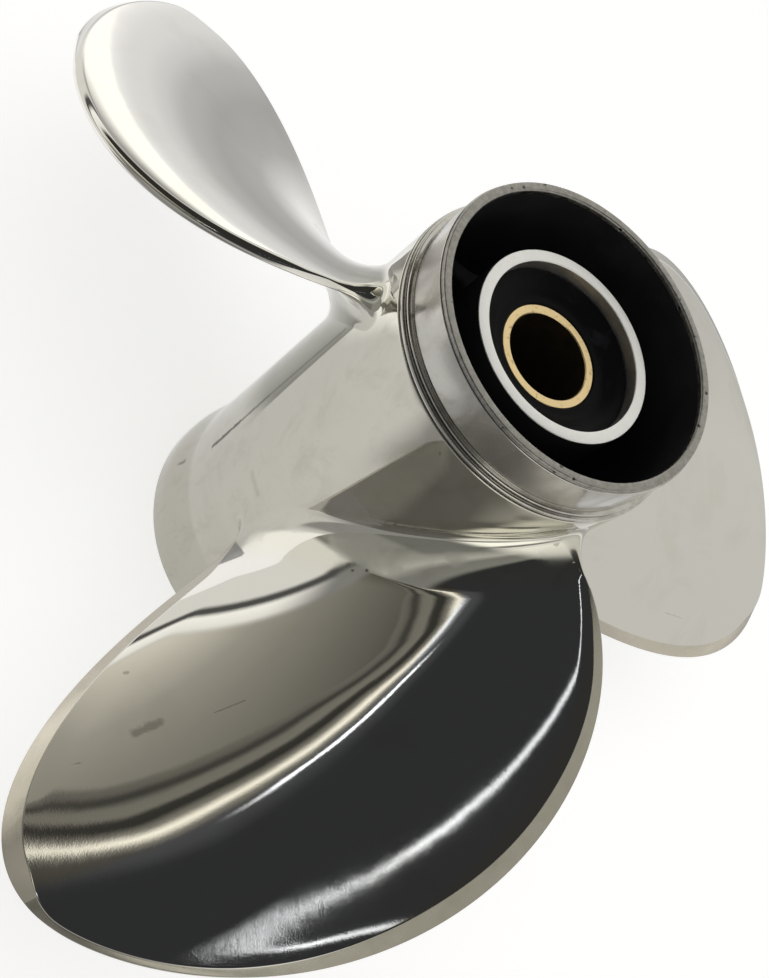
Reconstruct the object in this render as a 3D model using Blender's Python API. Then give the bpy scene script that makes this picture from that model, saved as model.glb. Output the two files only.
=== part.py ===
"""A three-bladed, right-handed outboard propeller whose exhaust leaves through the hub.

It stands on the flat end of its aft ring. The shaft axis is Z and the front end is up.
Lengths are in metres. The cast body is split into nodes at the lines where its surface changes.
"""

from math import atan2, cos, pi, radians, sin, sqrt, tan

import bmesh
import bpy

BLADES = 3
GAP = 0.0003  # between curved pieces that touch on the real one
FOOT_GAP = 0.0005  # under a blade's foot, whose facets dip between their corners
ROUND_STEPS = 72

# Hub, from the aft end up.
HUB_LENGTH = 0.1137
FLARE_RADIUS = 0.0331
FLARE_BORE = 0.0302
FLARE_FOOT = 0.0040
FLARE_TOP = 0.0170
BARREL_AFT_RADIUS = 0.0316
BARREL_FRONT_RADIUS = 0.0322
BARREL_TOP = 0.1022
HUB_BORE = 0.0286

# Front collar, where the hub enters the gearcase.
COLLAR_RADIUS = 0.0307
COLLAR_GROOVE_RADIUS = 0.03045
COLLAR_FOOT = 0.1046
BEAD_RADIUS = 0.0321
BEAD_TOP = 0.1034
FINE_BEAD_RADIUS = 0.0315
FINE_BEAD_TOP = 0.1042
RIM_STEP = 0.0003
RIM_STEP_FOOT = 0.1128
RIM_CHAMFER = 0.0003

# Inner tube, and the ribs that carry it.
TUBE_OUTER = 0.0194
TUBE_INNER = 0.0170
TUBE_TOP = 0.1084
TUBE_FOOT = 0.0270
RIB_THICKNESS = 0.0040
RIB_TOP = 0.0985
RIB_FOOT = 0.0230
RIB_SLOPE = 0.0040

# Rubber bush and brass sleeve inside the tube.
BUSH_TOP = 0.1058
BUSH_DISH = 0.0020
BUSH_FOOT = 0.0350
SLEEVE_OUTER = 0.0106
SLEEVE_BORE = 0.0088
SLEEVE_TOP = 0.1036
SLEEVE_FOOT = 0.0310
SPLINE_TOP = 0.0830
SPLINE_DEPTH = 0.0012
SPLINES = 10

# Blade: its edge is drawn on the unrolled helix as (distance along the helix, radius).
PITCH = 0.2705
RAKE = radians(-8.6)
ROOT_RADIUS = 0.0320
TIP_RADIUS = 0.1176
LEADING_ROOT_HEIGHT = 0.0939
LEADING_ROOT = (0.0, ROOT_RADIUS)
LEADING_BULGE = (0.0213, 0.0938)
LEADING_SHOULDER = (-0.0858, TIP_RADIUS)
TIP = (-0.1097, TIP_RADIUS)
TRAILING_SHOULDER = (-0.1513, TIP_RADIUS)
TRAILING_BULGE = (-0.0731, 0.0509)
TRAILING_ROOT = (-0.0705, ROOT_RADIUS)
SPINE_END = 0.55  # how far the middle line between the edges runs before it stops short of the tip
EDGE_THICKNESS = 0.0018
ROOT_THICKNESS = 0.0068
FILLET = 0.0085
FILLET_SIDE = 0.0052

# The flat land ground along each edge: its width, its slope, how much wider it grows outwards, the
# radii over which it starts and the places along the edge over which it fades.
LEADING_LAND = {"width": 0.0019, "slope": 0.70, "growth": 0.0, "start": (0.034, 0.056), "end": (0.60, 0.82)}
TRAILING_LAND = {"width": 0.0034, "slope": 0.47, "growth": 0.45, "start": (0.034, 0.050), "end": (0.86, 0.99)}
LAND_GROWTH = (0.40, 0.80)
LAND_FOOT = 0.0002  # what the land leaves of the edge's thickness
LEAST_LAND = 0.0004

FILLET_ROWS = 5
EDGE_ROWS = 20
SIDE_STEPS = 8
NOSE_STEPS = 4


def clear_scene():
    for obj in list(bpy.data.objects):
        bpy.data.objects.remove(obj, do_unlink=True)


def make_material(name, colour, roughness, metallic):
    material = bpy.data.materials.new(name)
    material.use_nodes = True
    shader = material.node_tree.nodes["Principled BSDF"]
    shader.inputs["Base Color"].default_value = (*colour, 1.0)
    shader.inputs["Roughness"].default_value = roughness
    shader.inputs["Metallic"].default_value = metallic
    return material


def add_object(name, mesh_data, material, parent, sharp_angle=35):
    bmesh.ops.recalc_face_normals(mesh_data, faces=mesh_data.faces)
    mesh = bpy.data.meshes.new(name)
    mesh_data.to_mesh(mesh)
    mesh_data.free()
    mesh.shade_smooth()
    mesh.set_sharp_from_angle(angle=radians(sharp_angle))
    mesh.materials.append(material)
    obj = bpy.data.objects.new(name, mesh)
    bpy.context.scene.collection.objects.link(obj)
    obj.parent = parent
    return obj


def turned(profile, steps=ROUND_STEPS):
    """A ring: the closed profile of (radius, height) points turned about Z."""
    ring = bmesh.new()
    loops = []
    for step in range(steps):
        angle = 2 * pi * step / steps
        loops.append([ring.verts.new((r * cos(angle), r * sin(angle), z)) for r, z in profile])
    for step, loop in enumerate(loops):
        following = loops[(step + 1) % steps]
        for i, corner in enumerate(loop):
            j = (i + 1) % len(loop)
            ring.faces.new((corner, following[i], following[j], loop[j]))
    return ring


def barrel_radius(height):
    share = (height - FLARE_TOP) / (BARREL_TOP - FLARE_TOP)
    return BARREL_AFT_RADIUS + share * (BARREL_FRONT_RADIUS - BARREL_AFT_RADIUS)


def smooth_step(value, low, high):
    share = min(max((value - low) / (high - low), 0.0), 1.0)
    return share * share * (3 - 2 * share)


def flare_profile(points=7):
    """The aft ring: its outside sweeps out to the flat end that the propeller stands on."""
    outside = [(FLARE_RADIUS, 0.0)]
    for i in range(points + 1):
        height = FLARE_FOOT + (FLARE_TOP - FLARE_FOOT) * i / points
        swell = smooth_step(height, FLARE_FOOT, FLARE_TOP)
        outside.append((FLARE_RADIUS + (BARREL_AFT_RADIUS - FLARE_RADIUS) * swell, height))
    inside = [(HUB_BORE, FLARE_TOP), (HUB_BORE, FLARE_TOP * 0.6), (FLARE_BORE, 0.0)]
    return outside + inside


def barrel_profile():
    return [
        (HUB_BORE, FLARE_TOP),
        (BARREL_AFT_RADIUS, FLARE_TOP),
        (BARREL_FRONT_RADIUS, BARREL_TOP),
        (HUB_BORE, BARREL_TOP),
    ]


def collar_profile():
    """The turned band at the front: two beads, a fine groove, then the band up to the bare rim."""
    rim_radius = COLLAR_RADIUS - RIM_STEP
    return [
        (HUB_BORE, BARREL_TOP),
        (BEAD_RADIUS - 0.0003, BARREL_TOP),
        (BEAD_RADIUS, BARREL_TOP + 0.0003),
        (BEAD_RADIUS, BEAD_TOP - 0.0002),
        (FINE_BEAD_RADIUS - 0.0004, BEAD_TOP),
        (FINE_BEAD_RADIUS, BEAD_TOP + 0.0003),
        (FINE_BEAD_RADIUS, FINE_BEAD_TOP - 0.0001),
        (COLLAR_GROOVE_RADIUS, FINE_BEAD_TOP),
        (COLLAR_GROOVE_RADIUS, COLLAR_FOOT),
        (COLLAR_RADIUS, COLLAR_FOOT + 0.0003),
        (COLLAR_RADIUS, RIM_STEP_FOOT),
        (rim_radius, RIM_STEP_FOOT + 0.0001),
        (rim_radius, HUB_LENGTH - RIM_CHAMFER),
        (rim_radius - RIM_CHAMFER, HUB_LENGTH),
        (HUB_BORE + RIM_CHAMFER, HUB_LENGTH),
        (HUB_BORE, HUB_LENGTH - RIM_CHAMFER),
    ]


def tube_profile():
    return [
        (TUBE_INNER, TUBE_FOOT),
        (TUBE_OUTER, TUBE_FOOT),
        (TUBE_OUTER, TUBE_TOP),
        (TUBE_INNER, TUBE_TOP),
    ]


def bush_profile():
    inner = SLEEVE_OUTER + GAP
    outer = TUBE_INNER - GAP
    return [
        (inner, BUSH_FOOT),
        (outer, BUSH_FOOT),
        (outer, BUSH_TOP),
        (inner, BUSH_TOP - BUSH_DISH),
    ]


def splined_sleeve():
    """The brass sleeve: a plain bore at the front, splines from there to its aft end."""
    sleeve = bmesh.new()
    tooth = [(0.0, SPLINE_DEPTH), (0.34, SPLINE_DEPTH), (0.46, 0.0), (0.88, 0.0)]
    angles = []
    for spline in range(SPLINES):
        for share, depth in tooth:
            angles.append((2 * pi * (spline + share) / SPLINES, depth))
    rows = []
    for height in (SLEEVE_FOOT, SPLINE_TOP):
        rows.append([(SLEEVE_BORE - depth, angle, height) for angle, depth in angles])
    for radius, height in (
        (SLEEVE_BORE, SPLINE_TOP + SPLINE_DEPTH),
        (SLEEVE_BORE, SLEEVE_TOP),
        (SLEEVE_OUTER, SLEEVE_TOP),
        (SLEEVE_OUTER, SLEEVE_FOOT),
    ):
        rows.append([(radius, angle, height) for angle, _ in angles])
    loops = []
    for row in rows:
        loops.append([sleeve.verts.new((r * cos(a), r * sin(a), z)) for r, a, z in row])
    for i, loop in enumerate(loops):
        following = loops[(i + 1) % len(loops)]
        for j in range(len(loop)):
            k = (j + 1) % len(loop)
            sleeve.faces.new((loop[j], loop[k], following[k], following[j]))
    return sleeve


def rib_prism():
    """A flat web along +X between tube and barrel. Its front edge slopes down towards the barrel."""
    half = RIB_THICKNESS / 2
    inner = TUBE_OUTER + GAP
    outer = sqrt((HUB_BORE - GAP) ** 2 - half**2)
    side = [(inner, RIB_FOOT), (outer, RIB_FOOT), (outer, RIB_TOP - RIB_SLOPE), (inner, RIB_TOP)]
    rib = bmesh.new()
    back = [rib.verts.new((x, -half, z)) for x, z in side]
    front = [rib.verts.new((x, half, z)) for x, z in side]
    rib.faces.new(back)
    rib.faces.new(list(reversed(front)))
    for i in range(4):
        j = (i + 1) % 4
        rib.faces.new((back[i], front[i], front[j], back[j]))
    return rib


def bezier(points, t):
    a, b, c, d = points
    weights = ((1 - t) ** 3, 3 * t * (1 - t) ** 2, 3 * t * t * (1 - t), t**3)
    return tuple(sum(w * p[k] for w, p in zip(weights, (a, b, c, d))) for k in (0, 1))


def leading_edge(t):
    return bezier((LEADING_ROOT, LEADING_BULGE, LEADING_SHOULDER, TIP), t)


def trailing_edge(t):
    return bezier((TRAILING_ROOT, TRAILING_BULGE, TRAILING_SHOULDER, TIP), t)


def spine_line(t):
    """Halfway between the two edges."""
    lead, trail = leading_edge(t), trailing_edge(t)
    return ((lead[0] + trail[0]) / 2, (lead[1] + trail[1]) / 2)


def place_at_radius(line, radius):
    """The place along an edge or the spine that lies at this radius."""
    low, high = 0.0, 1.0
    for _ in range(40):
        middle = (low + high) / 2
        if line(middle)[1] < radius:
            low = middle
        else:
            high = middle
    return low


def fillet_width(radius):
    """How much wider a side stands at the root: a quarter ellipse, higher than it is wide."""
    rise = min(max(radius - ROOT_RADIUS, 0.0), FILLET)
    return FILLET_SIDE * (1 - sqrt(1 - (1 - rise / FILLET) ** 2))


def swell_at(along, radius):
    """How far the forward face stands proud of a plate as thick as the edge: a parabola over the chord."""
    level = min(max(radius, ROOT_RADIUS), TIP_RADIUS)
    lead = leading_edge(place_at_radius(leading_edge, level))[0]
    trail = trailing_edge(place_at_radius(trailing_edge, level))[0]
    if lead - trail < 1e-6:
        return 0.0
    share = min(max((lead - along) / (lead - trail), 0.0), 1.0)
    out = (level - ROOT_RADIUS) / (TIP_RADIUS - ROOT_RADIUS)
    return (ROOT_THICKNESS - EDGE_THICKNESS) * (1 - out) * 4 * share * (1 - share)


def helix_point(along, radius, off):
    """From unrolled place to space. off is measured square to the helix, forward side positive."""
    slope = atan2(PITCH, 2 * pi * radius)
    height = LEADING_ROOT_HEIGHT + tan(RAKE) * (radius - ROOT_RADIUS) + along * sin(slope) + off * cos(slope)
    angle = (along * cos(slope) - off * sin(slope)) / radius
    hug = max(0.0, 1 - (radius - ROOT_RADIUS) / FILLET)
    radius += hug * (barrel_radius(height) - ROOT_RADIUS + FOOT_GAP)
    return (radius * cos(angle), radius * sin(angle), height)


def blade_rows():
    """For each row from root to tip: the place along the leading edge, the trailing edge and the spine."""
    lines = (leading_edge, trailing_edge, spine_line)
    rows = []
    for i in range(FILLET_ROWS):
        radius = ROOT_RADIUS + FILLET * (1 - cos(pi / 2 * i / FILLET_ROWS))
        rows.append([place_at_radius(line, radius) for line in lines])
    starts = [place_at_radius(line, ROOT_RADIUS + FILLET) for line in lines]
    for i in range(EDGE_ROWS + 1):
        share = i / EDGE_ROWS
        rows.append([start + share * (end - start) for start, end in zip(starts, (1.0, 1.0, SPINE_END))])
    return rows


def land_width(land, place, radius):
    width = land["width"] * (1 + land["growth"] * smooth_step(place, *LAND_GROWTH))
    return width * smooth_step(radius, *land["start"]) * (1 - smooth_step(place, *land["end"]))


def edge_section(width, slope):
    """The edge with a land this wide, from forward to aft face: (distance outside the outline, height)."""
    half = EDGE_THICKNESS / 2
    foot = max(half - width * slope, LAND_FOOT - half)
    return ((-width, half), (0.0, foot), (0.0, (foot - half) / 2), (0.0, -half), (-width, -half))


def half_row(edge_line, place, spine, land):
    """From the spine to one edge: the forward side, the nose round the edge and the aft side."""
    edge = edge_line(place)
    reach = sqrt((edge[0] - spine[0]) ** 2 + (edge[1] - spine[1]) ** 2)
    out = ((edge[0] - spine[0]) / reach, (edge[1] - spine[1]) / reach)
    half = EDGE_THICKNESS / 2
    widen = fillet_width(edge[1] - out[1] * half)
    width = land_width(land, place, edge[1])
    flat = smooth_step(width, 0, LEAST_LAND)
    nose = []
    for i, (flat_out, flat_up) in enumerate(edge_section(max(width, LEAST_LAND), land["slope"])):
        turn = pi / 2 - pi * i / NOSE_STEPS
        round_out = half * (cos(turn) - 1)
        outward = round_out + flat * (flat_out - round_out) + cos(turn) * widen
        upward = half * sin(turn) + flat * (flat_up - half * sin(turn)) + sin(turn) * widen
        spot = (edge[0] + out[0] * outward, edge[1] + out[1] * outward)
        upward += swell_at(*spot) * (upward + half + widen) / (EDGE_THICKNESS + 2 * widen)
        nose.append((spot, upward))
    forward = side_row(spine, nose[0][0], 1)
    aft = side_row(spine, nose[-1][0], -1)
    return forward, [helix_point(*spot, off) for spot, off in nose[1:-1]], aft


def side_row(spine, end, side):
    """Points from the spine to the edge on the forward (1) or the aft (-1) side."""
    points = []
    for step in range(SIDE_STEPS + 1):
        share = sin(pi / 2 * step / SIDE_STEPS)
        along = spine[0] + share * (end[0] - spine[0])
        radius = spine[1] + share * (end[1] - spine[1])
        off = side * (EDGE_THICKNESS / 2 + fillet_width(radius))
        if side > 0:
            off += swell_at(along, radius)
        points.append(helix_point(along, radius, off))
    return points


def blade_solid():
    blade = bmesh.new()
    loops = []
    for places in blade_rows():
        loops.append([blade.verts.new(point) for point in whole_row(*places)])
    for lower, upper in zip(loops, loops[1:]):
        for i in range(len(lower)):
            j = (i + 1) % len(lower)
            blade.faces.new((lower[i], lower[j], upper[j], upper[i]))
    close_foot(blade, loops[0])
    # The last row's two halves both run from the spine's top to the tip, so merging them closes it.
    bmesh.ops.remove_doubles(blade, verts=list(blade.verts), dist=1e-6)
    return blade


def whole_row(lead_place, trail_place, spine_place):
    """One loop round the section: forward side, leading nose, aft side, trailing nose."""
    spine = spine_line(spine_place)
    forward_lead, nose_lead, aft_lead = half_row(leading_edge, lead_place, spine, LEADING_LAND)
    forward_trail, nose_trail, aft_trail = half_row(trailing_edge, trail_place, spine, TRAILING_LAND)
    return (
        forward_lead
        + nose_lead
        + aft_lead[::-1]
        + aft_trail[1:]
        + nose_trail[::-1]
        + forward_trail[:0:-1]
    )


def close_foot(blade, loop):
    """Strips across the foot that follow the barrel, so that it stays clear of it all over."""
    side = SIDE_STEPS + 1
    forward = loop[-SIDE_STEPS:] + loop[:side]
    aft_start = side + NOSE_STEPS - 1
    aft = loop[aft_start : aft_start + 2 * side - 1][::-1]
    columns = []
    for front, back in zip(forward, aft):
        columns.append([front] + between_on_barrel(blade, front, back) + [back])
    nose_lead = loop[side : side + NOSE_STEPS - 1]
    nose_trail = loop[aft_start + 2 * side - 1 : -SIDE_STEPS][::-1]
    columns.insert(0, [columns[0][0]] + nose_trail + [columns[0][-1]])
    columns.append([columns[-1][0]] + nose_lead + [columns[-1][-1]])
    for left, right in zip(columns, columns[1:]):
        for i in range(NOSE_STEPS):
            corners = (left[i], left[i + 1], right[i + 1], right[i])
            blade.faces.new(list(dict.fromkeys(corners)))


def between_on_barrel(blade, front, back):
    """Points spaced evenly between two points of the foot, each laid back on the barrel."""
    points = []
    for step in range(1, NOSE_STEPS):
        point = front.co.lerp(back.co, step / NOSE_STEPS)
        radius = barrel_radius(point.z) + FOOT_GAP
        spread = radius / sqrt(point.x**2 + point.y**2)
        points.append(blade.verts.new((point.x * spread, point.y * spread, point.z)))
    return points


def build():
    clear_scene()
    polished = make_material("polished_steel", (0.72, 0.71, 0.68), 0.10, 1.0)
    turned_steel = make_material("turned_steel", (0.62, 0.61, 0.58), 0.34, 1.0)
    coated_steel = make_material("coated_steel", (0.030, 0.030, 0.032), 0.50, 0.0)
    rubber = make_material("rubber", (0.022, 0.021, 0.022), 0.65, 0.0)
    brass = make_material("brass", (0.78, 0.60, 0.30), 0.28, 1.0)

    shaft_axis = bpy.data.objects.new("shaft_axis", None)
    bpy.context.scene.collection.objects.link(shaft_axis)

    add_object("diffuser_ring", turned(flare_profile()), polished, shaft_axis)
    add_object("hub_barrel", turned(barrel_profile()), polished, shaft_axis)
    add_object("front_collar", turned(collar_profile()), turned_steel, shaft_axis)
    add_object("inner_tube", turned(tube_profile()), coated_steel, shaft_axis)
    add_object("rubber_bush", turned(bush_profile()), rubber, shaft_axis)
    add_object("spline_sleeve", splined_sleeve(), brass, shaft_axis)

    root_middle = angle_at_root((LEADING_ROOT[0] + TRAILING_ROOT[0]) / 2)
    for number in range(BLADES):
        turn = 2 * pi * number / BLADES
        blade = add_object(f"blade_{number + 1}", blade_solid(), polished, shaft_axis, 60)
        blade.rotation_euler.z = turn
        rib = add_object(f"rib_{number + 1}", rib_prism(), coated_steel, shaft_axis)
        rib.rotation_euler.z = turn + root_middle


def angle_at_root(along):
    """The angle about the shaft, in radians, of a place on the root's helix."""
    slope = atan2(PITCH, 2 * pi * ROOT_RADIUS)
    return along * cos(slope) / ROOT_RADIUS


build()
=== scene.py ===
"""The outboard propeller's looks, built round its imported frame: cast steel, turned steel, brass and rubber.

Lengths are in metres, in the frame's own coordinates: the shaft axis is Z and the front end is up.
"""

from math import atan2, cos, pi, radians, sin, sqrt, tan

import bmesh
import bpy
from mathutils import Matrix, Vector


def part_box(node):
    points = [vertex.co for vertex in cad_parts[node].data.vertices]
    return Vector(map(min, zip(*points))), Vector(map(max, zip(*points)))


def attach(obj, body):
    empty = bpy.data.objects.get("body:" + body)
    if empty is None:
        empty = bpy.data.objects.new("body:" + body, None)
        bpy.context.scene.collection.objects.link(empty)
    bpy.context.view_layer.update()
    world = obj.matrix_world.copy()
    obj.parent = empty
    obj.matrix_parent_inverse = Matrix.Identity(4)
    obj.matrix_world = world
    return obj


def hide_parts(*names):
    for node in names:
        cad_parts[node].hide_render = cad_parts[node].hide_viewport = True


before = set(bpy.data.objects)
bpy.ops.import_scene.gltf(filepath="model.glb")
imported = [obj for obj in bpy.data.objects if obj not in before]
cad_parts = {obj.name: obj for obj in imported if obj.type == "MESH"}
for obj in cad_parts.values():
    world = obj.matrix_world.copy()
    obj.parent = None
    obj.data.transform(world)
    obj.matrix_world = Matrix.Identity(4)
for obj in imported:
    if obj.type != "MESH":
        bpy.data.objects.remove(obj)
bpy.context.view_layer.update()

MM = 0.001

# Camera, solved from the hub's circles and the blades' edges in the photograph.
CAMERA_PLACE = Vector((74.6, -179.8, 278.4)) * MM
CAMERA_TARGET = Vector((6.6, -4.9, 51.2)) * MM
CAMERA_ROLL = radians(57.4)
CAMERA_LENS = 51.65
CAMERA_CLIP = 0.01

# Studio: a round table top in a pale room. Headings and elevations are in degrees.
TABLE_RADIUS = 1.2
TABLE_PLACE = (0.0, 0.93, 0.0)
TABLE_STEPS = 96
# How much the table glows: to the camera, and in the steel by the distance from the shaft axis.
TABLE_GLOW = 0.66
MIRRORED_GLOW = (
    (0.0, 0.56), (0.12, 0.54), (0.17, 0.23), (0.25, 0.21), (0.30, 0.30), (0.36, 0.37), (0.45, 0.58),
    (0.60, 0.76), (0.90, 0.85), (1.5, 1.2),
)
FRONT_GLOW = 0.56
# In front the table is brighter towards the left: from where, and how bright.
LEFT_SIDE = (-0.105, -0.080)
LEFT_GLOW = 1.12
BEHIND = (0.0, 0.06)
# The shade on the table before the camera, in two steps: where each starts, to the right and in front.
SHADES = (((0.007, 0.055), (-0.104, -0.086)), ((-0.075, -0.040), (-0.152, -0.136)))
# A blade's shade, to the left of the barrel: its reach, its front edge and how deep it is behind that edge.
BLADE_SHADE_REACH = (-0.058, -0.044)
BLADE_SHADE_EDGE = -0.0380
BLADE_SHADE = ((0.0, 0.0), (0.0012, 0.85), (0.005, 0.76), (0.017, 0.50), (0.036, 0.34), (0.070, 0.0))
# How much of the table's glow the deepest shade leaves.
SHADE_LEAVES = 0.06
BACKDROP = 0.97
FILL = 0.48
OVERHEAD_HEIGHT = 0.75
OVERHEAD_SIZE = 0.9
OVERHEAD_POWER = 1.6
RAMP_PEAK = 4.0
WARM_LIGHT = (1.0, 0.965, 0.82, 1)
WALL_LIGHT = (1.0, 0.995, 0.935, 1)
COOL_LIGHT = (0.96, 1.0, 1.05, 1)
FRONT_HEADING = -120
FRONT_EDGE = (-0.05, 0.25)
CEILING_START = {"front": 15, "near": 18, "back": 46}
ZENITH = 90
# The walls by elevation, below the ceiling: over the front, near the camera, behind and to one side.
FRONT_WALL = ((0, 1.1), (7, 1.1), (8.5, 0.12), (10, 0.12), (11.5, 1.5), (15, 1.3), (18, 0.6), (90, 0.6))
DIM_FRONT_WALL = ((0, 1.1), (7, 1.1), (8.5, 0.12), (10, 0.12), (11.5, 0.34), (90, 0.34))
UPPER_NEAR_WALL = ((15, 0.50), (20, 0.65), (25, 0.30), (32, 0.33), (36, 0.05), (90, 0.05))
NEAR_WALL = ((0, 0.25), (9, 0.27)) + UPPER_NEAR_WALL
NEAR_LEFT_WALL = ((0, 0.39), (5, 0.36)) + UPPER_NEAR_WALL
BACK_WALL = (
    (0, 1.75), (1.5, 0.9), (3, 0.32), (6, 0.32), (8, 1.28), (11, 1.15), (13, 1.40), (20, 1.30), (45, 1.0),
    (90, 0.8),
)
SIDE_WALL = ((0, 0.75), (6, 0.78), (15, 0.90), (45, 0.90), (90, 0.8))
LEFT_HEADING, LEFT_EDGE = -175, (0.89, 0.97)
NEAR_HEADING, NEAR_EDGE = -80, (0.66, 0.76)
NEAR_LEFT_HEADING, NEAR_LEFT_EDGE = -100, (0.91, 0.965)
SIDE_HEADING, SIDE_EDGE = 60, (0.25, 0.60)
# The long panel over the front: its brightness by degrees towards its far end.
PANEL_HEADING = -110
PANEL = (
    (0, 0.08), (14, 0.11), (20, 0.17), (30, 0.25), (40, 0.36), (48, 0.50), (54, 0.78), (60, 1.1), (90, 1.5),
)
PANEL_SPAN = 90
# What frames the panel, across the ceiling. One unit is as far as the ceiling is high.
FRAME_START, FRAME_SPAN, FRAME_EDGE = -0.80, 0.5, 0.03
FRAME = (
    (0.00, 0.25), (0.06, 0.18), (0.085, 0.08), (0.105, 0.08), (0.135, 0.26), (0.18, 0.28), (0.20, 0.06),
    (0.235, 0.05), (0.27, 0.35), (0.30, 1.7), (0.325, 0.35), (0.35, 0.11), (0.386, 0.10), (0.45, 0.048),
    (0.5, 0.045),
)
# The frame bends away at both ends: from where, and how sharply.
FAR_BEND_START, FAR_BEND = -0.47, 36.0
NEAR_BEND_START, NEAR_BEND = -0.93, 0.8
# Between them it bulges: how far, and over which stretches that starts and ends.
BULGE = -0.06
BULGE_START, BULGE_END = (-1.30, -1.05), (-0.90, -0.70)
# How much the frame's stripes wander, and the stretch over which that gets more towards their far end.
WIGGLE = (0.010, 0.035)
WIGGLE_STRETCH = (-0.90, -0.72)
WIGGLE_NOISE = (12, 2, 0.5)
# A thin lit slot beside the frame: its place, half its width, its two ends and its brightness.
SLOT_PLACE = -0.432
SLOT_HALF_WIDTH = (0.004, 0.010)
SLOT_ENDS = ((-0.84, -0.74), (-0.56, -0.48))
SLOT_LEVEL = 3.0
CEILING_LEVEL = 0.045
# The ceiling's plane ends at this rise, its edge blends over these degrees, and its tint changes here.
LEAST_RISE = 0.05
CEILING_BLEND = 3.0
TINT_EDGE = (-0.47, -0.44)
# A long lamp, mirrored a little bent: where it crosses the ceiling's middle line, its slope and its bend.
LAMP_OFFSET, LAMP_SLOPE, LAMP_BEND = -0.3635, 0.25, 0.36
LAMP_START = (-0.10, -0.06)
# It grows wider and fainter along its length: over which stretch, half its width and its brightness there.
LAMP_GROWTH = (0.02, 0.20)
LAMP_HALF_WIDTH = (0.0011, 0.0058)
LAMP_LEVEL = (4.2, 1.75)
LAMP_SOFTNESS = (0.2, 1.5)
KEY_PLACE = (-0.42, 0.98)
KEY_REACH = (0.30, 0.60)
KEY_LEVEL = 1.15

# Blade: its edge is drawn on the unrolled helix as (distance along the helix, radius).
BLADES = 3
PITCH = 0.2705
RAKE = radians(-8.6)
ROOT_RADIUS = 0.0320
TIP_RADIUS = 0.1176
LEADING_ROOT_HEIGHT = 0.0939
LEADING_EDGE = ((0.0, ROOT_RADIUS), (0.0213, 0.0938), (-0.0858, TIP_RADIUS), (-0.1097, TIP_RADIUS))
TRAILING_EDGE = ((-0.0705, ROOT_RADIUS), (-0.0731, 0.0509), (-0.1513, TIP_RADIUS), (-0.1097, TIP_RADIUS))
SPINE_END = 0.55
EDGE_THICKNESS = 0.0018
ROOT_THICKNESS = 0.0068
FILLET = 0.0085
FILLET_SIDE = 0.0052
SINK = 0.000006
FOOT_DEPTH = 0.0012

# The flat land ground along each edge: its width, its slope, the radii over which it starts and the places
# along the edge over which it turns into the rounded edge of the tip. It grows wider: how much, and over
# which places.
LEAD_LAND = {"width": 0.0019, "start": (0.034, 0.056), "end": (0.45, 0.78), "grows_over": (0.12, 0.32)}
TRAIL_LAND = {
    "width": 0.0034, "slope": 0.47, "start": (0.034, 0.050), "end": (0.86, 0.99), "growth": 0.45,
    "grows_over": (0.40, 0.80),
}
LAND_FOOT = 0.0002
LAND_ROUND = 0.00022
LEAST_LAND = 0.0004
# The most that a corner of the land is rounded, as a share of its width.
MOST_ROUNDING = 0.45
TIP_EDGE = {"width": 0.0012, "slope": 1.0, "corner": 0.0005}
# Each blade is ground by hand: the leading land's width to the pattern's, its slope, growth, rounding and
# material, and how much the forward face rolls off towards both lands.
FINISHES = (
    {"width": 1.0, "slope": 0.70, "growth": 0.50, "corner": LAND_ROUND, "material": 2, "roll": 1.0},
    {"width": 1.0, "slope": 0.70, "growth": 0.50, "corner": LAND_ROUND, "material": 2, "roll": 1.0},
    {"width": 0.55, "slope": 0.60, "growth": 0.0, "corner": 0.00050, "material": 0, "roll": 0.25},
)
# Inside the land the forward face rolls off: over which width, and how deep.
LEAD_ROLL = (0.0025, 0.00010)
TRAIL_ROLL = (0.0055, 0.00018)
ROLL_END = (0.58, 0.78)

# Hub, from the aft end up. The frame gives what it can.
HUB_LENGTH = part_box("front_collar")[1].z
FLARE_RADIUS = 0.0331
FLARE_BORE = 0.0302
FLARE_STEP = (0.0040, 0.0170)
BARREL_AFT_RADIUS = 0.0316
BARREL_FRONT_RADIUS = 0.0322
BARREL_TOP = 0.1022
HUB_BORE = 0.0286
TURN_STEPS = 288

# Front collar.
COLLAR_RADIUS = 0.0307
COLLAR_FOOT = 0.1046
RIM_STEP = 0.0003
RIM_STEP_FOOT = 0.1128
BARE_LIP = 0.0011
# How near a surface a face still counts as on it, where its material is picked.
NEARLY = 0.0001

# Inner tube, ribs, bush and sleeve.
TUBE_OUTER = 0.0194
TUBE_INNER = 0.0170
TUBE_FOOT, TUBE_TOP = (corner.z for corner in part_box("inner_tube"))
RIB_FOOT, RIB_TOP = (corner.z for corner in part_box("rib_1"))
RIB_THICKNESS = 0.0040
RIB_SLOPE = 0.0040
RIB_FILLET = 0.0022
RIB_FOOT_ROUND, RIB_TOP_ROUND = 0.0006, 0.0014
# How far a rib reaches into the tube's wall and into the barrel's.
RIB_INTO_TUBE, RIB_INTO_BARREL = 0.0003, 0.0004
BUSH_FOOT, BUSH_TOP = (corner.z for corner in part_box("rubber_bush"))
BUSH_DISH = 0.0020
SLEEVE_FOOT, SLEEVE_TOP = (corner.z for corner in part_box("spline_sleeve"))
SLEEVE_OUTER = 0.0106
SLEEVE_BORE = 0.0088
SLEEVE_CHAMFER = 0.00018
SPLINE_TOP = 0.0830
SPLINE_DEPTH = 0.0012
SPLINES = 10

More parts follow.
